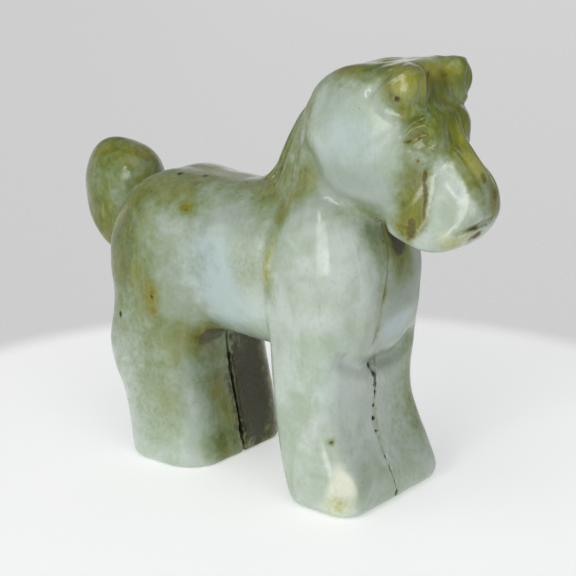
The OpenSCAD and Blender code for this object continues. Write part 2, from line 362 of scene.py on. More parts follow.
def horse(points):
    """Signed distance-like value of the finished carving, millimetres."""
    p = points.astype(F32)
    y_signed = p[..., 1] - lean(p)
    q = p.copy()
    q[..., 1] = np.abs(y_signed)
    z = p[..., 2]
    neck, head = neck_and_head(q)
    d = smin(smin(trunk(q), neck, 3.2), head, 1.0)
    d = smin(d, ears(q), 0.7)
    d = smin(d, tail(q), 1.0)
    d = d + cut_lines(q, y_signed) + pits(q, y_signed) + hand_finish(p)
    d = toe_facet(d, q)
    return smax(d, -z, 0.8)


# ---------------------------------------------------------------- regions of the carving
def chain(x, z, points):
    """Above zero on the left of a line of points, walked from low to high."""
    out = None
    for (x0, z0), (x1, z1) in zip(points, points[1:]):
        length = np.hypot(x1 - x0, z1 - z0)
        d = ((x1 - x0) * (z - z0) - (z1 - z0) * (x - x0)) / length
        out = d if out is None else np.maximum(out, d)
    return out


# Front edge of the mane's strip, seen from the side: x and z in mm.
CREST = [(-0.6, 34.6), (3.2, 42.9), (7.6, 46.9), (12.4, 48.4)]
LEG_TOP = 15.0  # height at which the legs are cut from the torso, mm


def shell(p):
    """Tail, ears and mane as spaces taken out of the torso, neck and head: below zero inside."""
    x, y, z = p[..., 0], p[..., 1], p[..., 2]
    side = np.abs(y)
    lobe = np.maximum(0.984 * (x + 21.85) - 0.177 * (z - 30.5), np.maximum(side - 4.5, 20.5 - z))
    ear = np.maximum(np.maximum(2.7 - side, 46.2 - z), 15.6 - x)
    ends = np.maximum(np.abs(x - 4.2) - 8.2, -chain(x, z, CREST))
    crest = np.maximum(np.maximum(side - 2.2, 34.6 - z), ends)
    return lobe, ear, crest


def region(name, p):
    """Below zero inside the named region, which flat planes bound."""
    x, y, z = p[..., 0], p[..., 1], p[..., 2]
    if name.endswith("leg"):
        half = y if name.startswith("right") else -y
        end = -3.0 - x if "fore" in name else x + 3.0
        return np.maximum(np.maximum(half, end), z - LEG_TOP)
    lobe, ear, crest = shell(p)
    if name == "tail":
        return lobe
    if name == "mane":
        return crest
    if name.endswith("ear"):
        return np.maximum(ear, y if name.startswith("right") else -y)
    withers = np.minimum(0.259 * (x + 4.0) + 0.966 * (z - 34.0), x + 4.0)
    jaw = 0.843 * (x - 4.0) + 0.538 * (z - 50.2)
    if name == "torso":
        return np.maximum(np.maximum(LEG_TOP - z, withers), -lobe)
    if name == "neck":
        return np.maximum(np.maximum(-withers, jaw), -crest)
    return np.maximum(np.maximum(-withers, -jaw), np.maximum(-crest, -ear))


# ---------------------------------------------------------------- from field to mesh
def in_parts(function, points, size=150000):
    """Runs a function over many points, a part at a time, to keep memory small."""
    return np.concatenate([function(points[i:i + size]) for i in range(0, len(points), size)])


def slope(function, points, reach=0.04):
    """Direction in which a field grows, at each point."""
    out = np.zeros((len(points), 3), F32)
    for axis in range(3):
        offset = np.zeros(3, F32)
        offset[axis] = reach
        out[:, axis] = in_parts(function, points + offset) - in_parts(function, points - offset)
    return out / (2 * reach)


BLOCK = 4        # lattice points across a block, which is tried at its middle first
SPARE = 0.75     # how far off that try may be, mm
ROUNDS = 3       # times that a mesh point is moved towards the true surface
ONE_MOVE = 0.6   # most it moves in a round, in mesh sizes
ALL_MOVES = 1.1  # most it moves altogether, in mesh sizes
GRAZING = 0.05   # below this the skin and the cutting plane run side by side


def sample(low, cells, h):
    """The horse's field on a lattice, worked out in full only near its surface."""
    shape = np.array(cells)
    mid = (np.indices(shape // BLOCK).reshape(3, -1).T * BLOCK + (BLOCK - 1) / 2) * h + low
    rough = in_parts(horse, mid.astype(F32)).reshape(shape // BLOCK)
    near = np.abs(rough) < BLOCK * h * 1.1 + SPARE
    for axis in range(3):
        rough = rough.repeat(BLOCK, axis)
        near = near.repeat(BLOCK, axis)
    where = np.argwhere(near)
    rough[near] = in_parts(horse, (where * h + low).astype(F32))
    return rough


def net(values, own, low, h):
    """Vertices and quads of the zero level of max(values, own), and which vertices each field has."""
    solid = np.maximum(values, own)
    inside = solid < 0
    corner = [inside[i:inside.shape[0] - 1 + i, j:inside.shape[1] - 1 + j, k:inside.shape[2] - 1 + k]
              for i in (0, 1) for j in (0, 1) for k in (0, 1)]
    count = sum(c.astype(np.int8) for c in corner)
    cell = np.argwhere((count > 0) & (count < 8))
    number = np.full(count.shape, -1, np.int32)
    number[cell[:, 0], cell[:, 1], cell[:, 2]] = np.arange(len(cell))

    total = np.zeros((len(cell), 3))
    crossings = np.zeros(len(cell))
    for axis in range(3):
        others = [a for a in range(3) if a != axis]
        for i in (0, 1):
            for j in (0, 1):
                start = cell.copy()
                start[:, others[0]] += i
                start[:, others[1]] += j
                end = start.copy()
                end[:, axis] += 1
                a = solid[start[:, 0], start[:, 1], start[:, 2]]
                b = solid[end[:, 0], end[:, 1], end[:, 2]]
                hit = (a < 0) != (b < 0)
                t = a[hit] / (a[hit] - b[hit])
                place = start[hit].astype(float)
                place[:, axis] += t
                total[hit] += place
                crossings[hit] += 1
    points = (total / crossings[:, None]) * h + low

    quads = []
    for axis in range(3):
        u, v = (axis + 1) % 3, (axis + 2) % 3
        first = inside.take(range(inside.shape[axis] - 1), axis)
        second = inside.take(range(1, inside.shape[axis]), axis)
        edge = np.argwhere(first != second)
        edge = edge[(edge[:, u] > 0) & (edge[:, v] > 0)
                    & (edge[:, u] < inside.shape[u] - 1) & (edge[:, v] < inside.shape[v] - 1)]
        ring = []
        for du, dv in ((1, 1), (0, 1), (0, 0), (1, 0)):
            c = edge.copy()
            c[:, u] -= du
            c[:, v] -= dv
            ring.append(number[c[:, 0], c[:, 1], c[:, 2]])
        quad = np.stack(ring, 1)
        out = inside[edge[:, 0], edge[:, 1], edge[:, 2]]
        quad[~out] = quad[~out][:, ::-1]
        quads.append(quad)
    faces = np.concatenate(quads)

    def mixed(field):
        """Whether each cell has the zero level of a field in it."""
        signs = [field[cell[:, 0] + i, cell[:, 1] + j, cell[:, 2] + k] < 0
                 for i in (0, 1) for j in (0, 1) for k in (0, 1)]
        n = sum(s.astype(int) for s in signs)
        return (n > 0) & (n < 8)
    return points, faces, mixed(values), mixed(own)


def carve(name, low, high, h):
    """One region of the horse as a closed mesh: vertices, quads, and a normal for each corner."""
    low = np.floor(np.array(low) / h - 2) * h
    cells = (np.ceil((np.array(high) - low) / h / BLOCK) + 1).astype(int) * BLOCK
    values = sample(low, cells, h)
    lattice = np.indices(cells).transpose(1, 2, 3, 0) * h + low
    own = region(name, lattice).astype(F32)
    points, faces, on_skin, on_plane = net(values, own, low, h)

    def bound(p):
        """The region's own field at some points."""
        return region(name, p.astype(np.float64)).astype(F32)

    # Each point goes to the skin, to the cutting plane, or to the line where the two meet.
    start = points.copy()
    for _ in range(ROUNDS):
        f, g = in_parts(horse, points.astype(F32)), in_parts(bound, points)
        df, dg = slope(horse, points.astype(F32)), slope(bound, points, 0.01)
        ff, gg, fg = (df * df).sum(1) + 1e-6, (dg * dg).sum(1) + 1e-6, (df * dg).sum(1)
        wall = ff * gg - fg * fg
        seam = on_skin & on_plane & (wall > GRAZING)
        skin = on_skin & ~seam & ~(on_plane & (g > f))
        a = np.where(seam, -(f * gg - g * fg) / np.maximum(wall, GRAZING), np.where(skin, -f / ff, 0))
        b = np.where(seam, -(g * ff - f * fg) / np.maximum(wall, GRAZING), np.where(skin, 0, -g / gg))
        move = a[:, None] * df + b[:, None] * dg
        size = np.linalg.norm(move, axis=1, keepdims=True)
        points = points + move * np.minimum(1, ONE_MOVE * h / np.maximum(size, 1e-9))
        away = points - start
        far = np.linalg.norm(away, axis=1, keepdims=True)
        points = start + away * np.minimum(1, ALL_MOVES * h / np.maximum(far, 1e-9))

    # On the skin a corner's normal is the field's own, so that neighbouring pieces shade alike.
    df, dg = slope(horse, points.astype(F32), 0.05), slope(bound, points, 0.01)
    df /= np.linalg.norm(df, axis=1, keepdims=True) + 1e-9
    dg /= np.linalg.norm(dg, axis=1, keepdims=True) + 1e-9
    across = np.cross(points[faces[:, 2]] - points[faces[:, 0]], points[faces[:, 3]] - points[faces[:, 1]])
    across /= np.linalg.norm(across, axis=1, keepdims=True) + 1e-12
    outer = (across * df[faces].mean(1)).sum(1) >= (across * dg[faces].mean(1)).sum(1)
    pure_skin = on_skin & ~on_plane
    pure_wall = on_plane & ~on_skin
    outer = (outer | pure_skin[faces].any(1)) & ~pure_wall[faces].any(1)
    normals = np.where(outer[:, None, None], df[faces], across[:, None, :])
    return points, faces, normals


# ---------------------------------------------------------------- where the stone changes colour, and where shade and highlight are painted
# Clouds: centre, radii and strength of a soft patch of each colour, in sculpt millimetres.
OLIVE = [
    ((5.9, -4.5, 42.6), (1.1, 1.4, 5.0), 0.8), ((-9, -1, 37.4), (15, 9.5, 4.2), 0.95),
    ((-14, -6.5, 32.6), (7, 3, 2.4), 0.6), ((-15, -5, 23), (9.5, 7, 14), 0.5),
    ((-16.8, -7, 27), (5, 4.5, 5.5), 0.8), ((-12.6, -9.2, 20.6), (1.4, 1.2, 2.6), 0.65),
    ((-16.5, -9, 20.5), (4.5, 2, 5), 0.4), ((-20, 5, 25), (6, 7, 12), 0.7),
    # Partly painted shade: the patch under the belly at the top of the near hind leg and the one on the far
    # hind leg darken where shade falls.
    ((-8.4, -4, 15.8), (6, 6, 2.6), 0.85), ((-7, 4.4, 8), (4, 5.4, 11), 1.1),
    ((-12, -9.5, 9), (5, 2, 8), 0.35), ((-6.9, -3.0, 8), (1.8, 3.4, 9), 0.85),
    ((-6.8, -3.2, 1.6), (1.8, 2.8, 2.6), 0.8), ((-9.6, -9, 7.2), (1.2, 1.4, 3.0), 0.3),
    ((0.8, -4.5, 33.4), (3.4, 4.5, 3), 0.4), ((1, -8.3, 27.4), (3.2, 2, 3), 0.3),
    ((2.4, -2.2, 41.2), (3.4, 4.4, 8.5), 0.7), ((7.4, -4.4, 45.8), (2.0, 2.6, 3.6), 0.75),
    ((8.4, -6.0, 41), (2.2, 1.6, 5), 0.4), ((10.5, -3.6, 50.2), (6.5, 4.6, 2.6), 0.85),
    ((16.5, -3.4, 50.6), (4.6, 4, 1.8), 0.9), ((10, 3, 50.2), (7, 4, 2.8), 0.8),
    ((21.2, 0, 48.8), (3.4, 7.6, 3.8), 1.1), ((20.4, 4.4, 49.6), (2.6, 2.6, 2.2), 1.0),
    ((20.2, -5.4, 46.6), (1.8, 1.8, 1.6), 0.8), ((19.4, -5.6, 48.6), (3.0, 2.4, 2.4), 0.65),
    ((22.2, -3.4, 44.6), (1.8, 2.0, 2.4), 0.9), ((23.8, 0.8, 44), (2.6, 4.6, 5.4), 1.25),
    ((26.6, 1.6, 40.2), (2.8, 3.0, 4.8), 0.8), ((28.5, 0.9, 37.0), (2.0, 2.8, 3.4), 1.0),
    ((20.6, -4.6, 44), (1.6, 1.6, 2.4), 0.65), ((-26.5, 0, 30), (8, 6, 11), 1.15),
    ((7.4, -6.2, 37.4), (1.8, 1.6, 3.4), 0.6), ((5.4, -6.6, 33.2), (1.5, 2, 2.4), 0.75),
    ((20.8, -4.4, 38.6), (2.2, 2.6, 4.8), 0.7), ((20.7, -4.8, 34.9), (1.9, 2, 2.4), 1.25),
    ((24.6, -3.2, 32.8), (3.2, 2.4, 1.7), 0.5), ((14.7, 1.4, 29.6), (2.0, 2.4, 4.8), 1.3),
    ((14.8, -2.6, 31.6), (2.2, 2.6, 4.0), 0.6), ((14.6, -2.4, 25), (2.2, 1.6, 5), 0.4),
    ((14, 7.4, 12), (2.6, 2.4, 10), 0.55), ((14.4, 3.4, 10), (2.4, 3, 8), 0.3),
    ((15.6, 3, 26), (1.6, 2.4, 1.8), 0.4), ((15.2, -9.3, 1.6), (2.4, 2, 1.3), 0.3),
    ((-8.9, -7.2, 31.7), (1.3, 1.2, 0.7), 0.9), ((13.3, -8.3, 8.6), (0.5, 0.8, 0.45), 0.6),
    ((15.3, -6.6, 34.6), (3.6, 3, 1.4), 0.55), ((3, 7.5, 33), (3, 3, 3), 0.6),
    ((-2, 9, 24), (3, 2, 5), 0.45), ((8, 9, 27), (2, 2, 7), 0.5), ((12, 7.5, 40), (3, 2, 3), 0.5),
    ((-12, 9.5, 12), (4, 2, 9), 0.55), ((20, 5.4, 37), (3, 2, 4), 0.6),
]
LILAC = [
    ((14, -7.4, 43.4), (4.6, 3, 4.6), 0.6), ((-4.2, -8.4, 25.6), (4.2, 3, 5.2), 1.25),
    ((1, -8.2, 21.6), (4.2, 3, 3), 0.6), ((-3, -7.4, 19.6), (4, 4, 3.2), 0.7),
    ((1, -4.5, 33), (2.6, 3, 2.6), 0.6), ((17.4, -5.6, 37.6), (3.4, 3, 2.0), 0.25),
    ((14.8, 2, 21.2), (2, 3.4, 3.2), 0.9), ((15.6, 3, 25.6), (2, 3, 1.6), 0.55),
    ((12.6, -7, 16), (4, 4, 6), 0.35), ((-9, -8, 12), (4, 3, 3.4), 0.4), ((2, 8.4, 26), (5, 3, 5), 0.9),
    ((15, 7.2, 43), (5, 3, 4.6), 0.7), ((-14, 9, 23), (4, 3, 5), 0.5), ((-1, 1, 16.4), (6, 6, 2), 0.5),
    ((-14, -9, 5), (4, 3, 4), 0.3), ((13.4, 3.4, 12.5), (2.5, 2.2, 3), 0.5),
]
RUST = [
    ((14.9, 1.2, 30.2), (1.8, 2, 3.6), 0.7), ((-12.5, -9.4, 21.4), (1.0, 1, 2.0), 0.55),
    ((-12.3, -9.3, 19.2), (0.8, 1, 1.0), 0.6), ((-18.2, -8.9, 17.6), (0.5, 0.8, 0.6), 1.0),
    ((-8.7, -7.3, 31.7), (0.8, 0.9, 0.35), 0.75), ((20.0, -6.2, 47.7), (0.6, 0.9, 0.55), 1.3),
    ((20.4, -5.7, 46.8), (0.5, 0.8, 0.7), 0.6), ((20.2, 1.8, 49.0), (1.0, 1.8, 0.9), 0.85),
    ((20.9, 3.6, 48.9), (1.0, 1.0, 1.6), 0.6), ((20.8, -4.9, 43.0), (0.9, 1, 0.45), 0.8),
    ((21.4, -4.2, 43.6), (0.5, 1, 0.7), 0.9), ((27.2, -0.4, 39.2), (0.7, 0.8, 1.3), 0.8),
    ((27.9, 0.8, 37.6), (0.6, 1.0, 1.5), 0.8), ((27.4, 0.6, 35.4), (0.7, 1.4, 0.8), 0.8),
    ((26.4, -0.7, 33.0), (1.7, 1.6, 0.8), 1.2), ((21.2, -4.9, 33.7), (1.0, 1.2, 2.0), 1.15),
    ((5.9, -4.5, 42.8), (0.9, 1.2, 3.6), 0.45),
    ((20.0, -5.0, 33.9), (1.2, 1, 0.5), 0.7), ((21.3, -4.1, 41.0), (0.5, 0.8, 0.4), 0.8),
    ((13.3, -8.3, 8.6), (0.3, 0.6, 0.25), 1.2), ((12.2, 0.2, 15.4), (2.2, 0.5, 1.2), 1.3),
    ((-26.4, -1.9, 35.2), (1.2, 1.2, 0.7), 0.6), ((-26.9, 0, 26), (2.4, 3.6, 5), 0.4),
    ((-6.2, 0.5, 2.6), (1.2, 1.4, 3.0), 0.7), ((15.3, -9.4, 2.0), (0.5, 0.6, 0.3), 0.7),
    # Partly painted shade: the broad brown patch on the far hind leg darkens it where shade falls.
    ((-6.3, -3.4, 1.0), (0.7, 1.6, 1.0), 0.5), ((-7.6, 3, 9), (2.4, 4.4, 9), 0.7),
    ((-26.5, 0, 31), (6, 5, 7), 0.3),
]
# Painted shade: darker patches where the carving falls into shade, on the rear and the haunch's edge, the
# mane, under the jaw, under the breast, the belly and the far hind leg.
PAINTED_SHADE = [
    ((-15.5, -6, 23), (9.6, 6, 13), 1.0), ((-3, -8, 21), (6, 4, 7), 0.25),
    ((13, 2.4, 15.6), (3, 3.4, 1.5), 1.0), ((-12, 0, 34), (12, 8, 4), 0.6),
    ((-9, -6, 10), (8, 5, 9), 0.55), ((8, -5.6, 36.5), (6, 4, 5), 0.7), ((2, -1, 40), (4, 4, 9), 1.0),
    ((15.6, 3, 27), (3, 6, 9), 0.9), ((-8, 4, 8), (6, 5, 10), 0.9), ((17, -4, 34.8), (5, 4, 2.4), 0.5),
    ((-1, -4, 31.6), (7, 7, 3.5), 0.6), ((-20, 4, 24), (9, 8, 14), 0.8),
    ((9, -6.4, 47.5), (6, 2.5, 3), 0.4), ((16.5, -7, 37.2), (5, 3, 3), 0.55),
    ((13, -7.6, 42), (6, 3, 6), 0.2), ((0, -6, 17), (9, 4, 2.2), 0.3),
    ((14.6, 7, 10), (3, 4, 10), 0.25), ((-15, -7, 28), (7, 5, 6), 0.6),
    ((-10, -9, 17.5), (5, 3, 6), 0.6), ((-25, 0, 30), (9, 6, 12), 0.8),
    ((6.0, -6, 44), (2.6, 4, 6), 0.6),
]
# Paler stone, and painted highlight: the glare on the polished toe facets is painted as pale patches here.
PALE_AND_HIGHLIGHT = [
    ((15.3, -8.2, 4.2), (1.7, 1.6, 2.3), 1.0), ((15.3, 8.2, 4.2), (1.5, 1.4, 2.0), 0.7),
    ((14.6, -8.6, 1.0), (3.4, 2, 1.2), 0.5), ((25.0, -3.2, 33.0), (3.2, 2.4, 1.9), 0.65),
    ((26.3, -0.5, 40.2), (1.3, 1.5, 2.4), 0.7),
    ((20.6, -5.0, 48.8), (1.8, 2, 1.6), 0.7), ((20.6, 0.6, 50.2), (2.6, 3.4, 1.2), 0.6),
    ((4.6, -8.2, 28.4), (1.2, 1.4, 4), 0.6), ((14.9, -8.4, 5.6), (1.5, 1.6, 2), 0.6),
    ((15.2, -8.8, 2.4), (2.2, 1.6, 1.8), 0.6), ((24.6, 0, 43), (1.2, 1, 4), 0.5),
    ((23.4, -4.2, 40.4), (0.7, 0.8, 1.0), 0.8), ((-8.9, -7.2, 31.7), (1.2, 1.2, 0.7), 0.5),
    ((-25.6, -2, 34.6), (2.4, 2.4, 2), 0.5), ((15.2, 2.6, 20.4), (2.0, 3.2, 1.6), 0.6),
]
# Dark drill pits, and painted shade: the broad patches on the haunch's rear edge, the mane, the chest
# (partly), the far hind leg and under the belly paint shade in the colour of the pits; the small ones are
# pits.
PITS_AND_SHADE = [
    ((-17.4, -8.6, 26), (3.4, 3, 7), 0.42), ((3, -1, 42), (3, 2.4, 8), 0.4),
    ((14.9, 1.1, 30.8), (1.8, 1.6, 3.6), 0.7), ((-7.4, 2.8, 7.6), (3.0, 4.6, 11), 0.7),
    ((-8.4, -3.4, 15.6), (2.8, 3.4, 1.3), 0.6), ((-13.1, -3.3, 34.7), (0.25, 0.5, 0.5), 1.0),
    ((-10.1, -2.2, 34.5), (0.35, 0.35, 0.5), 1.2), ((-2, -1.9, 34.6), (0.5, 0.25, 0.5), 1.0),
    ((-25.3, -2.0, 34.8), (0.4, 0.5, 0.25), 1.2), ((-18.2, -8.9, 17.6), (0.3, 0.6, 0.35), 1.0),
    ((-12.5, -9.4, 21.0), (0.25, 0.6, 0.3), 0.9), ((20.0, -6.2, 47.8), (0.22, 0.6, 0.25), 1.0),
    ((21.5, -4.0, 43.3), (0.15, 0.5, 0.25), 0.8), ((22.9, -2.7, 45.6), (0.25, 0.5, 0.25), 0.7),
    ((13.4, -0.4, 10.8), (0.8, 0.22, 0.22), 1.0), ((13.8, -0.7, 9.4), (0.8, 0.22, 0.25), 1.1),
    ((14.4, -0.8, 8.0), (0.8, 0.18, 0.18), 0.9), ((15.9, -1.0, 5.2), (0.8, 0.2, 0.2), 1.0),
    ((16.6, -1.0, 3.9), (0.8, 0.22, 0.22), 1.0), ((16.8, -0.4, 0.9), (1.0, 0.4, 0.4), 1.1),
    ((-8.0, 0.1, 12.0), (0.9, 0.4, 0.6), 1.2), ((-7.7, 0.1, 9.4), (0.8, 0.25, 0.25), 1.1),
    ((-7.2, 0.1, 5.4), (0.8, 0.25, 0.3), 1.1), ((-6.6, 0.1, 2.9), (0.9, 0.5, 0.9), 1.3),
]
# Veins: points along the line, half width and strength.
OLIVE_VEINS = [
    ([(9.0, -6.4, 39.2), (7.2, -6, 36.4), (5.4, -6.4, 33.4), (4.4, -7.6, 30.4), (4.6, -8.6, 27.6),
      (5.0, -8.8, 24.6)], 1.5, 0.5),
    ([(22.0, -3.2, 41.6), (22.0, -3.6, 37.6), (21.9, -4.6, 33.6)], 0.9, 0.6),
    ([(17.0, -5.4, 34.8), (14.9, -0.9, 30.1), (15.4, -1.5, 26), (15.6, -1.9, 22),
      (14.8, -1.8, 19.6)], 0.5, 0.8),
    ([(12.8, 0.1, 16), (12.8, 0.1, 12), (13.8, -0.7, 9.0), (15.2, -1.0, 5.8)], 0.6, 0.35),
    ([(7.4, -4.6, 46.4), (6.2, -5.0, 43.0), (5.0, -5.0, 39.6), (3.8, -4.8, 36.4)], 1.1, 0.75),
    ([(6, 7, 38), (4, 8.4, 31), (6.5, 9, 24)], 0.9, 0.7),
    ([(-17, 8, 31), (-13, 9.4, 24), (-16, 9, 17)], 0.7, 0.5),
]
RUST_VEINS = [
    ([(28.8, -0.6, 35.4), (27.2, -1.4, 34.4), (26.4, -2.4, 33.9)], 0.4, 0.9),
    ([(21.6, -3.5, 41.8), (21.8, -3.2, 40.2), (21.8, -3.5, 38.6), (22.2, -3.8, 36.8),
      (22.1, -4.4, 34.8), (21.6, -4.8, 32.6)], 0.28, 1.4),
    ([(17.5, -5.3, 34.8), (14.8, -0.8, 30.4), (15.4, -1.3, 27.4), (15.6, -1.8, 24.1),
      (15.4, -2.0, 21.8), (14.9, -1.8, 19.9)], 0.2, 0.9),
    ([(20.0, -1.0, 49.6), (20.8, -2.4, 48.2), (21.3, -3.6, 47.2)], 0.35, 1.0),
    ([(7.6, -4.8, 46.8), (6.8, -5.2, 44.2), (6.1, -5.4, 41.4), (5.2, -5.2, 38.6)], 0.3, 0.6),
    ([(6.6, -6.2, 35.6), (5.2, -7.0, 31.8), (4.5, -8.4, 28.4), (4.8, -8.8, 25.8)], 0.25, 0.45),
    ([(13.2, 0.3, 12.4), (13.6, -0.6, 10.2), (15.0, -0.8, 6.4)], 0.2, 0.3),
    ([(23.2, -1.4, 44.4), (24.8, 0.6, 42.0), (26.6, 1.0, 39.6)], 0.25, 0.6),
    ([(22.8, -0.2, 45.2), (25.0, -0.8, 41.2), (26.8, -0.8, 39.2)], 0.2, 0.6),
    ([(-13.2, -9.4, 23.4), (-12.4, -9.4, 21), (-12.2, -9.3, 18.8)], 0.22, 0.7),
    ([(15.6, 1.9, 26.4), (15.2, 0.2, 23.6)], 0.15, 0.4),
    ([(-15, 9.4, 26), (-13, 9.5, 21), (-14.4, 9.2, 16)], 0.25, 0.7),
    ([(5, 8.2, 32), (5.4, 8.9, 27)], 0.2, 0.6),
]
PIT_VEINS = [
    ([(-8.6, -0.4, 15.8), (-8.0, 0, 11.6), (-6.9, 0, 4.4), (-6.2, 0, 0.4)], 0.35, 0.8),
    ([(12.7, 0.2, 14.2), (12.8, 0.2, 13.0)], 0.4, 1.6),
    ([(13.0, 0.3, 12.2), (13.0, 0.3, 11.4)], 0.2, 1.2),
    ([(28.8, -0.6, 35.4), (27.2, -1.4, 34.4), (26.4, -2.4, 33.9)], 0.22, 0.4),
]


def clouds(p, ragged, patches, reach, soft):
    """Sum of soft patches with ragged edges, 0 to about 1."""
    total = np.zeros(len(p), F32)
    for centre, radii, strength in patches:
        q = (p - np.array(centre, F32)) / np.array(radii, F32)
        edge = np.clip((reach - np.sqrt((q * q).sum(1)) + 0.25 * ragged) / soft, 0, 1)
        total = np.maximum(total, total + (1.0 - total) * strength * edge * edge * (3 - 2 * edge))
    return total


def veins(p, ragged, lines):
    """Strongest of several soft lines with ragged edges."""
    total = np.zeros(len(p), F32)
    for points, width, strength in lines:
        best = np.full(len(p), 1e3, F32)
        for a, b in zip(points, points[1:]):
            a, b = np.array(a, F32), np.array(b, F32)
            t = np.clip((p - a) @ (b - a) / ((b - a) @ (b - a)), 0, 1)
            best = np.minimum(best, np.linalg.norm(p - a - t[:, None] * (b - a), axis=1))
        total = np.maximum(total, strength * bell(best, width * (1 + 0.5 * ragged)))
    return total


def nose_top(p):
    """1 on the upper faces of the nose, from the ridge on one side to the other."""
    x, y, z = p[:, 0], np.abs(p[:, 1]), p[:, 2]
    above_ridge = 0.35 * x - 0.304 * y + 0.305 * z - 20.1
    return step(above_ridge, 0.05, 0.12) * step(x, 21.4, 0.3)


def stains_shade_and_highlight(p):
    """Five colour amounts at each point: olive, lilac, rust, pits with painted shade, and painted shade
    (below 0 is paler stone and painted highlight).
    """
    ragged = 0.6 * cloud(p, 3.1, 11) + 0.5 * cloud(p, 1.2, 12) + 0.3 * cloud(p, 0.5, 13)
    drift = 0.525 * np.stack([cloud(p, 4.0, seed) for seed in (21, 22, 23)], 1)
    bent = p + 0.5 * drift
    olive = np.maximum(clouds(p + drift, ragged, OLIVE, 1.6, 1.5), veins(bent, ragged, OLIVE_VEINS))
    olive = np.maximum(olive, nose_top(p) * (0.68 + 0.35 * ragged))
    lilac = clouds(p + drift, ragged, LILAC, 1.5, 1.4)
    fine = 0.7 * cloud(p, 0.7, 14) + 0.6 * cloud(p, 0.3, 15)
    rust = np.maximum(clouds(p, fine, RUST, 1.1, 0.9), veins(bent, fine, RUST_VEINS))
    pits_and_shade = np.maximum(clouds(p, fine, PITS_AND_SHADE, 1.3, 0.7), veins(p, fine, PIT_VEINS))
    shade_and_pale = clouds(p + drift, ragged, PAINTED_SHADE, 1.6, 1.4) - clouds(p + drift, ragged, PALE_AND_HIGHLIGHT, 1.4, 1.1)
    return np.clip(np.stack([olive, lilac, rust, pits_and_shade, shade_and_pale], 1), (0, 0, 0, 0, -1), 1)


# ---------------------------------------------------------------- material
def rgb(red, green, blue):
    """Linear colour from a 0 to 255 display colour."""
    v = np.array([red, green, blue]) / 255
    return tuple(np.where(v <= 0.04045, v / 12.92, ((v + 0.055) / 1.055) ** 2.4)) + (1.0,)


class Nodes:
    """Shorthand for wiring one material."""

    def __init__(self, material):
        material.use_nodes = True
        self.tree = material.node_tree
        self.shader = self.tree.nodes["Principled BSDF"]
        self.place = self.tree.nodes.new("ShaderNodeTexCoord").outputs["Object"]

    def link(self, source, target):
        """Sets a socket to a value, or wires it to another."""
        if isinstance(source, (int, float, tuple)):
            target.default_value = source
        else:
            self.tree.links.new(source, target)

    def noise(self, scale, detail=3.0, rough=0.5, distortion=0.0):
        """Cloudy noise from 0 to 1, fixed to the piece."""
        n = self.tree.nodes.new("ShaderNodeTexNoise")
        self.link(self.place, n.inputs["Vector"])
        n.inputs["Scale"].default_value = scale
        n.inputs["Detail"].default_value = detail
        n.inputs["Roughness"].default_value = rough
        n.inputs["Distortion"].default_value = distortion
        return n.outputs["Fac"]

    def streaks(self, scale, turn):
        """Fine noise drawn out into short fibres."""
        n = self.tree.nodes.new("ShaderNodeMapping")
        self.link(self.place, n.inputs["Vector"])
        n.inputs["Rotation"].default_value = turn
        n.inputs["Scale"].default_value = (1.0, 1.0, 0.22)
        noise = self.noise(scale, 4.0, 0.62, 0.4)
        self.link(n.outputs["Vector"], noise.node.inputs["Vector"])
        return noise

    def math(self, kind, a, b, clamp=False):
        """One sum, difference, product or maximum."""
        n = self.tree.nodes.new("ShaderNodeMath")
        n.operation = kind
        n.use_clamp = clamp
        self.link(a, n.inputs[0])
        self.link(b, n.inputs[1])
        return n.outputs[0]

    def ramp(self, value, low, high, to_low=0.0, to_high=1.0):
        """Smooth rise from one result to another while a value goes from low to high."""
        n = self.tree.nodes.new("ShaderNodeMapRange")
        n.interpolation_type = "SMOOTHSTEP"
        self.link(value, n.inputs["Value"])
        n.inputs["From Min"].default_value = low
        n.inputs["From Max"].default_value = high
        n.inputs["To Min"].default_value = to_low
        n.inputs["To Max"].default_value = to_high
        return n.outputs["Result"]

    def mix(self, factor, a, b):
        """Blend of two colours."""
        n = self.tree.nodes.new("ShaderNodeMix")
        n.data_type = "RGBA"
        self.link(factor, n.inputs["Factor"])
        self.link(a, n.inputs[6])
        self.link(b, n.inputs[7])
        return n.outputs[2]


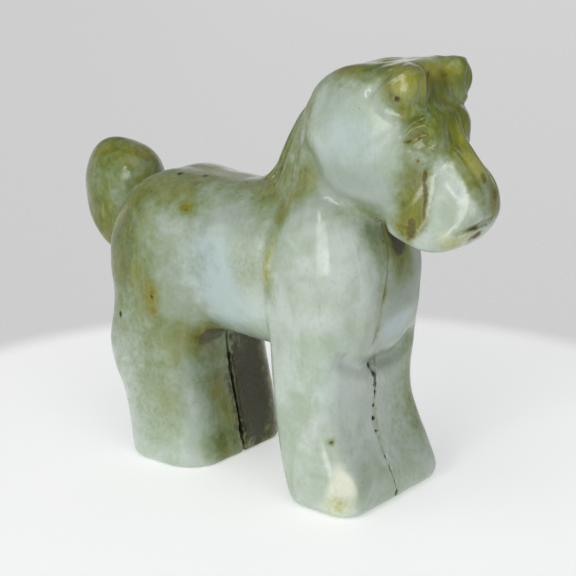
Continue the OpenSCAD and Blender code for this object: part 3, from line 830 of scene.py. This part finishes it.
def jade(name):
    """Polished jade: clouded body colour, stains, painted shade and painted highlight from the mesh, fine
    grain, a waxy gloss.
    """
    material = bpy.data.materials.new(name)
    n = Nodes(material)
    stain_and_shade = n.tree.nodes.new("ShaderNodeAttribute")
    stain_and_shade.attribute_name = "stain_and_shade"
    split = n.tree.nodes.new("ShaderNodeSeparateColor")
    n.link(stain_and_shade.outputs["Color"], split.inputs["Color"])
    olive, lilac, rust, pits_and_shade = split.outputs[0], split.outputs[1], split.outputs[2], stain_and_shade.outputs["Alpha"]
    shade_and_pale = n.tree.nodes.new("ShaderNodeAttribute")
    shade_and_pale.attribute_name = "shade_and_pale"

    broad, middle = n.noise(170, 4.0, 0.55, 0.6), n.noise(620, 4.0, 0.6)
    fine, grain = n.noise(1900, 3.0, 0.6), n.noise(5200, 2.0)
    fibre = n.streaks(900, (0.5, 0.35, 0.0))
    body = n.mix(n.ramp(broad, 0.34, 0.66), rgb(184, 195, 186), rgb(158, 172, 152))
    body = n.mix(n.ramp(middle, 0.45, 0.80, 0.0, 0.35), body, rgb(196, 206, 196))
    body = n.mix(n.ramp(fine, 0.52, 0.80, 0.0, 0.16), body, rgb(140, 154, 118))
    body = n.mix(n.ramp(fibre, 0.46, 0.30, 0.0, 0.30), body, rgb(138, 154, 126))
    blue = n.math("ADD", lilac, n.math("MULTIPLY", n.math("SUBTRACT", middle, 0.5), 0.7))
    body = n.mix(n.ramp(blue, 0.05, 1.0, 0.0, 0.85), body, rgb(174, 192, 194))

    # Painted shade: darker grey-green where the shade amount is above zero.
    body = n.mix(n.ramp(shade_and_pale.outputs["Fac"], 0.0, 1.0, 0.0, 0.9), body, rgb(138, 150, 137))
    # Paler stone, with the painted highlight on the toe facets.
    pale_and_highlight = n.ramp(shade_and_pale.outputs["Fac"], 0.0, -1.0)
    body = n.mix(n.math("MULTIPLY", pale_and_highlight, 0.8), body, rgb(222, 224, 204))

    mottle = n.math("ADD", n.math("SUBTRACT", middle, 0.5), n.math("SUBTRACT", fine, 0.5))
    green = n.math("ADD", olive, n.math("MULTIPLY", mottle, 0.45))
    moss = n.mix(n.ramp(broad, 0.36, 0.64), rgb(88, 104, 4), rgb(114, 111, 2))
    moss = n.mix(n.ramp(fibre, 0.50, 0.74, 0.0, 0.65), moss, rgb(146, 151, 58))
    moss = n.mix(n.ramp(fibre, 0.48, 0.30, 0.0, 0.6), moss, rgb(52, 62, 4))
    body = n.mix(n.ramp(green, 0.0, 0.6, 0.0, 0.65), body, rgb(122, 138, 86))
    body = n.mix(n.ramp(green, 0.32, 1.0, 0.0, 0.98), body, moss)
    body = n.mix(n.math("MULTIPLY", pale_and_highlight, n.ramp(green, 0.1, 0.6, 0.0, 0.6)), body, rgb(186, 182, 66))

    brown = n.math("ADD", rust, n.math("MULTIPLY", n.math("SUBTRACT", fine, 0.5), 0.5))
    earth = n.mix(n.ramp(grain, 0.35, 0.65), rgb(86, 78, 0), rgb(54, 48, 0))
    body = n.mix(n.ramp(brown, 0.0, 0.6, 0.0, 0.6), body, rgb(128, 122, 4))
    body = n.mix(n.ramp(brown, 0.3, 1.05, 0.0, 0.9), body, earth)
    # Dark pits, and painted shade from the broad patches of the same amount.
    specks_and_shade = n.math("ADD", pits_and_shade, n.math("MULTIPLY", n.math("SUBTRACT", grain, 0.5), 0.4))
    body = n.mix(n.ramp(specks_and_shade, 0.25, 0.8, 0.0, 0.92), body, rgb(30, 26, 5))
    n.link(body, n.shader.inputs["Base Color"])

    dull = n.math("MULTIPLY", n.math("MAXIMUM", pits_and_shade, rust), 0.30)
    sparkle = n.math("MULTIPLY", n.math("SUBTRACT", grain, 0.5), 0.08)
    gloss = n.math("ADD", n.ramp(middle, 0.3, 0.7, 0.15, 0.24), sparkle)
    n.link(n.math("ADD", gloss, dull, True), n.shader.inputs["Roughness"])
    height = n.math("ADD", n.math("MULTIPLY", fine, 0.7), n.math("MULTIPLY", grain, 0.3))
    bump = n.tree.nodes.new("ShaderNodeBump")
    bump.inputs["Strength"].default_value = 0.35
    bump.inputs["Distance"].default_value = 0.00006
    n.link(height, bump.inputs["Height"])
    n.link(bump.outputs["Normal"], n.shader.inputs["Normal"])
    n.shader.inputs["IOR"].default_value = 1.5
    n.shader.inputs["Coat Weight"].default_value = 0.1
    n.shader.inputs["Coat Roughness"].default_value = 0.12
    n.shader.inputs["Coat IOR"].default_value = 1.5
    return material


# ---------------------------------------------------------------- the pieces
SLOTS = {part["node"]: part["material_slot"] for part in frame["record"]["subparts"]}
STONE = {slot: jade(slot) for slot in sorted(set(SLOTS.values()))}
# node: lowest and highest corner of the box it is looked for in, and the mesh size, all in mm
EXTENT = {
    "torso": ((-25.5, -10.6, 15), (18, 10.6, 36.5), 0.2),
    "neck": ((-4.6, -9.8, 28), (17, 9.8, 51.5), 0.2),
    "head": ((4, -9.5, 28.5), (30.2, 9.5, 52.2), 0.15),
    "mane": ((-4.6, -2.4, 34.4), (12.6, 2.4, 51.8), 0.15),
    "right_ear": ((15.4, -8.0, 46), (24.0, -2.5, 52.4), 0.13),
    "left_ear": ((15.4, 2.5, 46), (24.0, 8.0, 52.4), 0.13),
    "tail": ((-33.0, -4.9, 20.2), (-19.6, 4.9, 38.4), 0.2),
    "right_foreleg": ((3, -10.8, -0.4), (18.4, 0.1, 15.1), 0.18),
    "left_foreleg": ((3, -0.1, -0.4), (18.4, 10.8, 15.1), 0.18),
    "right_hind_leg": ((-24, -10.8, -0.4), (-4.6, 0.1, 15.1), 0.18),
    "left_hind_leg": ((-24, -0.1, -0.4), (-4.6, 10.8, 15.1), 0.18),
}


def stone_mesh(name, points, faces, normals):
    """Blender mesh of one region, in metres, with its corner normals, its stains, and its painted shade and
    highlight.
    """
    mesh = bpy.data.meshes.new(name)
    mesh.vertices.add(len(points))
    mesh.vertices.foreach_set("co", ((points + [FIT, 0, 0]) / 1000).astype(F32).ravel())
    mesh.loops.add(faces.size)
    mesh.loops.foreach_set("vertex_index", faces.astype(np.int32).ravel())
    mesh.polygons.add(len(faces))
    mesh.polygons.foreach_set("loop_start", np.arange(0, faces.size, 4, dtype=np.int32))
    mesh.polygons.foreach_set("loop_total", np.full(len(faces), 4, np.int32))
    mesh.update(calc_edges=True)
    mesh.polygons.foreach_set("use_smooth", np.ones(len(faces), bool))
    mesh.normals_split_custom_set(normals.reshape(-1, 3).astype(F32))
    amounts = in_parts(stains_shade_and_highlight, points.astype(F32)).astype(F32)
    colour = mesh.attributes.new("stain_and_shade", "FLOAT_COLOR", "POINT")
    colour.data.foreach_set("color", amounts[:, :4].ravel())
    # Painted shade above zero; paler stone and painted highlight below zero.
    shade_and_pale_layer = mesh.attributes.new("shade_and_pale", "FLOAT", "POINT")
    shade_and_pale_layer.data.foreach_set("value", amounts[:, 4].copy())
    return mesh


for node, (low, high, h) in EXTENT.items():
    points, faces, normals = carve(node, low, high, h)
    mesh = stone_mesh(node + "_carved", points, faces, normals)
    mesh.materials.append(STONE[SLOTS[node]])
    piece = add(node + "_carved", mesh)
    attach(piece, "root")
    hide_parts(node)

# ---------------------------------------------------------------- floor and light
PLATE_RADIUS = 0.0618
PLATE_RIM = 0.004  # half the width over which the plate's edge fades
PLATE_CENTRE = (0.0034, 0.0005, 0)


def floor_material():
    """White display plate that fades into a pale grey table."""
    material = bpy.data.materials.new("floor")
    n = Nodes(material)
    length = n.tree.nodes.new("ShaderNodeVectorMath")
    length.operation = "LENGTH"
    n.link(n.place, length.inputs[0])
    rim = n.ramp(length.outputs["Value"], PLATE_RADIUS - PLATE_RIM, PLATE_RADIUS + PLATE_RIM)
    n.link(n.mix(rim, rgb(238, 238, 239), rgb(60, 60, 60)), n.shader.inputs["Base Color"])
    n.link(n.ramp(n.noise(900), 0.3, 0.7, 0.55, 0.65), n.shader.inputs["Roughness"])
    n.link(n.mix(rim, rgb(158, 158, 158), rgb(196, 196, 197)), n.shader.inputs["Emission Color"])
    n.shader.inputs["Emission Strength"].default_value = 1.0
    return material


def sweep():
    """Flat round floor that turns up into a low wall far behind the camera's view."""
    sides = 64
    rings = ((2.2, 0.0), (2.9, 0.05), (3.2, 0.16), (3.36, 0.32), (3.4, 0.5))
    points = []
    for radius, height in rings:
        for angle in np.linspace(0, 2 * np.pi, sides, endpoint=False):
            points.append((radius * np.cos(angle), radius * np.sin(angle), height))
    faces = [tuple(range(sides))]
    for low in range(0, sides * (len(rings) - 1), sides):
        for i in range(sides):
            after = (i + 1) % sides
            faces.append((low + i, low + after, low + after + sides, low + i + sides))
    return points, faces


ground = bpy.data.meshes.new("floor")
points, faces = sweep()
ground.from_pydata(points, [], faces)
ground.materials.append(floor_material())
floor = add("floor", ground)
floor.location = PLATE_CENTRE


def softbox(name, direction, distance, size, power):
    """Square white area light at some distance from the horse, facing it, and not seen itself."""
    data = bpy.data.lights.new(name, "AREA")
    data.size = size
    data.energy = power
    lamp = add(name, data)
    toward = Vector(direction).normalized()
    lamp.location = Vector((0, 0, 0.025)) + toward * distance
    lamp.rotation_euler = toward.to_track_quat("Z", "Y").to_euler()
    lamp.visible_camera = False


softbox("overhead", (0.2, -0.3, 1.0), 0.5, 0.35, 0.5)
softbox("key", (0.22, -0.93, 0.22), 0.6, 0.28, 1.2)
softbox("glint", (0.04, -0.82, 0.56), 0.6, 0.10, 0.3)
softbox("side", (-0.4, -1.0, 0.15), 0.7, 0.6, 0.8)
softbox("fill", (1.0, -0.5, 0.20), 0.6, 0.4, 0.35)
softbox("far", (-0.35, 1.0, 0.16), 0.8, 0.7, 0.5)
world = bpy.data.worlds.new("world")
bpy.context.scene.world = world
world.use_nodes = True
world.node_tree.nodes["Background"].inputs["Color"].default_value = (0.98, 0.99, 1.0, 1.0)
world.node_tree.nodes["Background"].inputs["Strength"].default_value = 0.30
